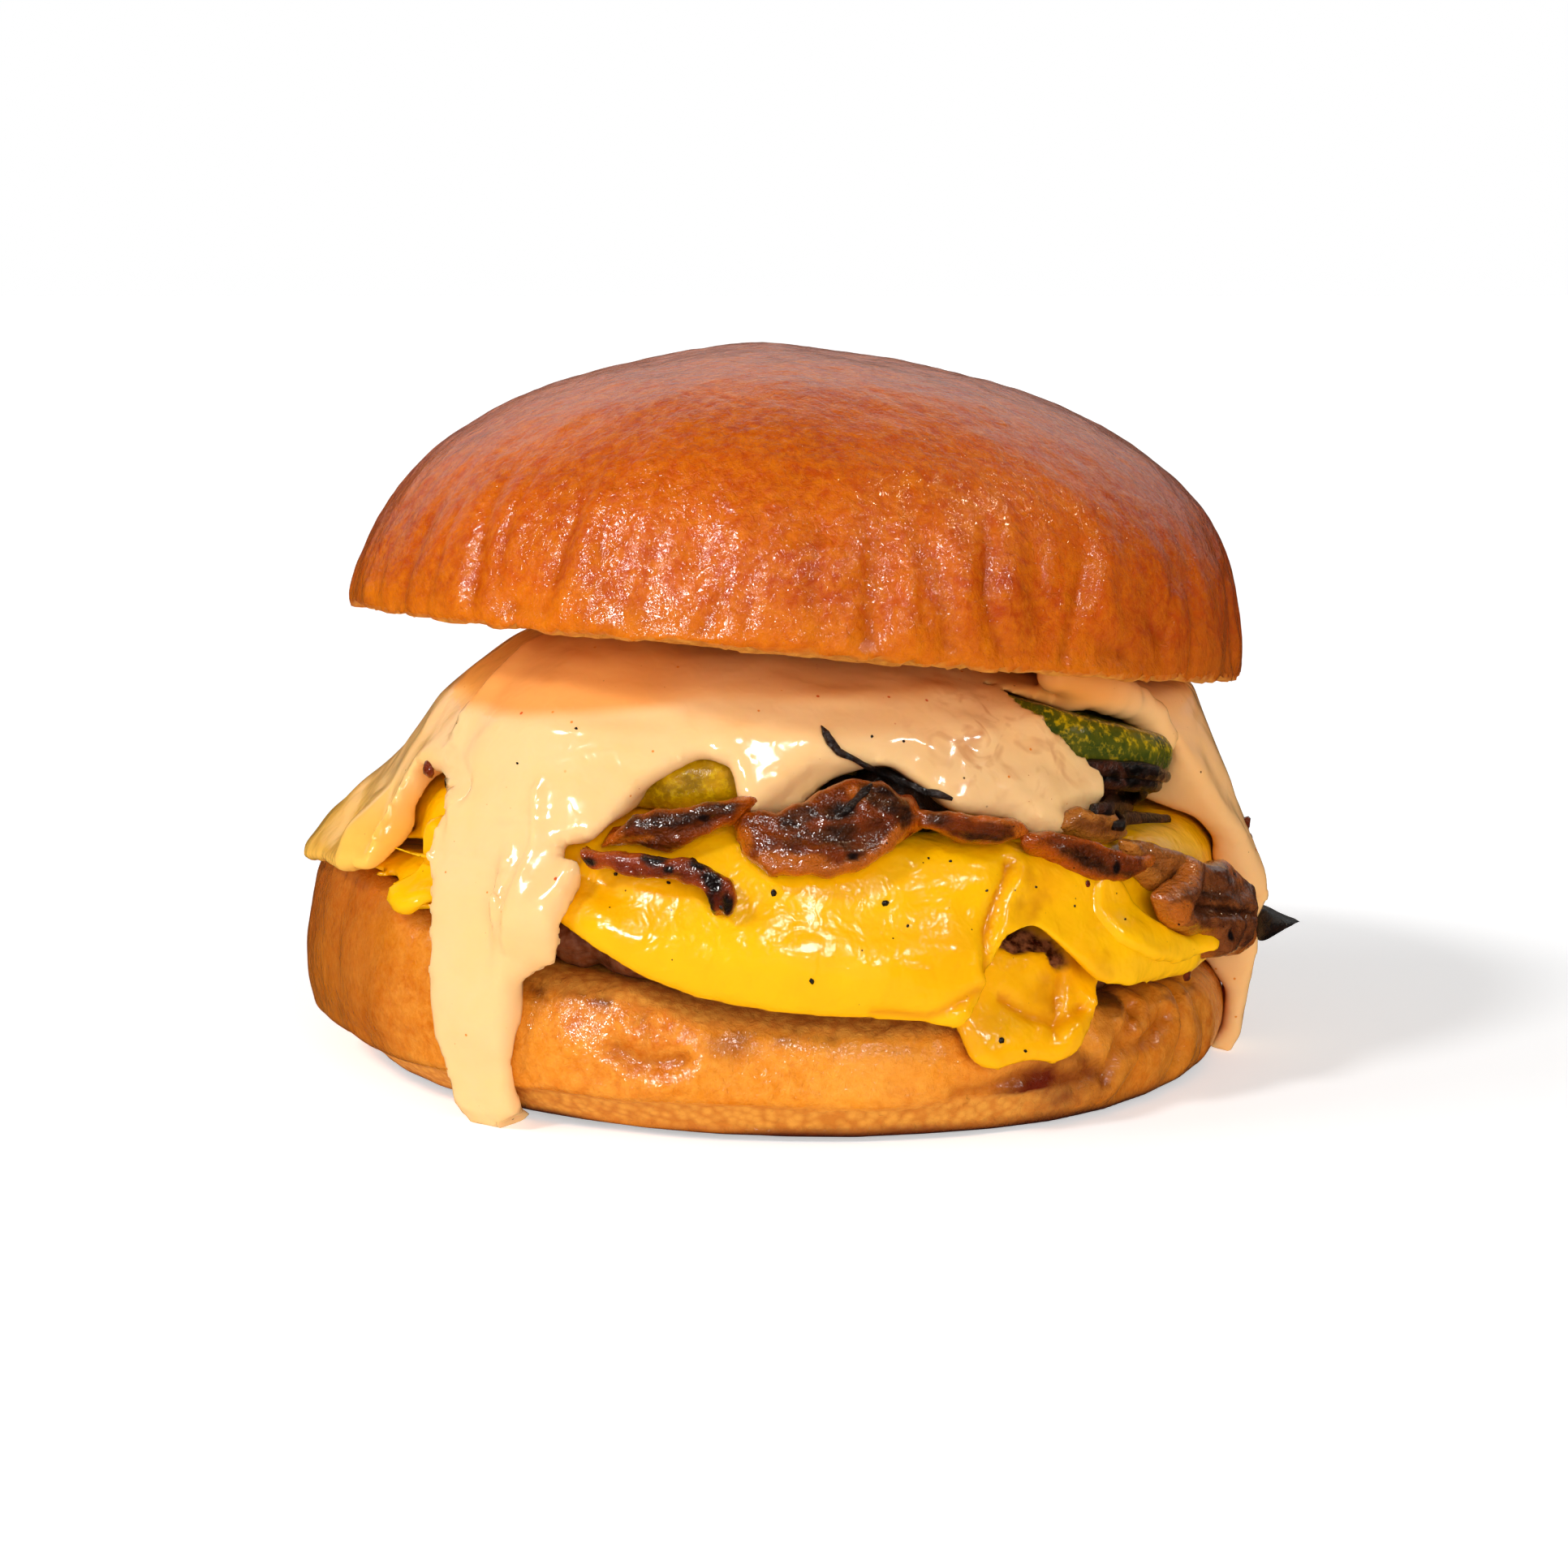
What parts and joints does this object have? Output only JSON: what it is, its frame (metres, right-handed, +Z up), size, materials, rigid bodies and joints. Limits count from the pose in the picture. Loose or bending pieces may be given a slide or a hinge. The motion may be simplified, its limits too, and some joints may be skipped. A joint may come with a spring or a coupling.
{
  "type": "mushroom cheeseburger",
  "caption": "Mushroom burger: brioche bun, beef patties under melted cheese, fried mushroom slices, pickle slices and a poured creamy sauce that drips down the side.",
  "frame": {"origin": "middle of the heel's flat underside, where the burger rests", "axes": "+Z up through the crown; -Y is the front, with the long sauce drip at its -X side"},
  "size_m": [0.1228, 0.1157, 0.0862],
  "materials": {
    "crust": "glossy baked crust",
    "beef": "coarse browned meat",
    "cheese": "melted, smooth and oily",
    "mushroom": "fried, wet and glossy",
    "char": "burnt",
    "pickle": "wet",
    "sauce": "creamy and glossy"
  },
  "bodies": {
    "root": {"heel": "crust", "patty_lower": "beef", "cheese_lower": "cheese", "patty_upper": "beef", "cheese_upper": "cheese", "mushroom_bed": "char", "pickle_left": "pickle", "pickle_right": "pickle", "charred_strip": "char", "mushroom_large": "mushroom", "mushroom_left": "mushroom", "mushroom_middle": "mushroom", "mushroom_slope": "mushroom", "mushroom_stub": "mushroom", "mushroom_corner": "mushroom", "mushroom_right": "mushroom", "mushroom_back": "mushroom", "charred_tip": "char", "sauce": "sauce", "crown": "crust"}
  },
  "joints": []
}
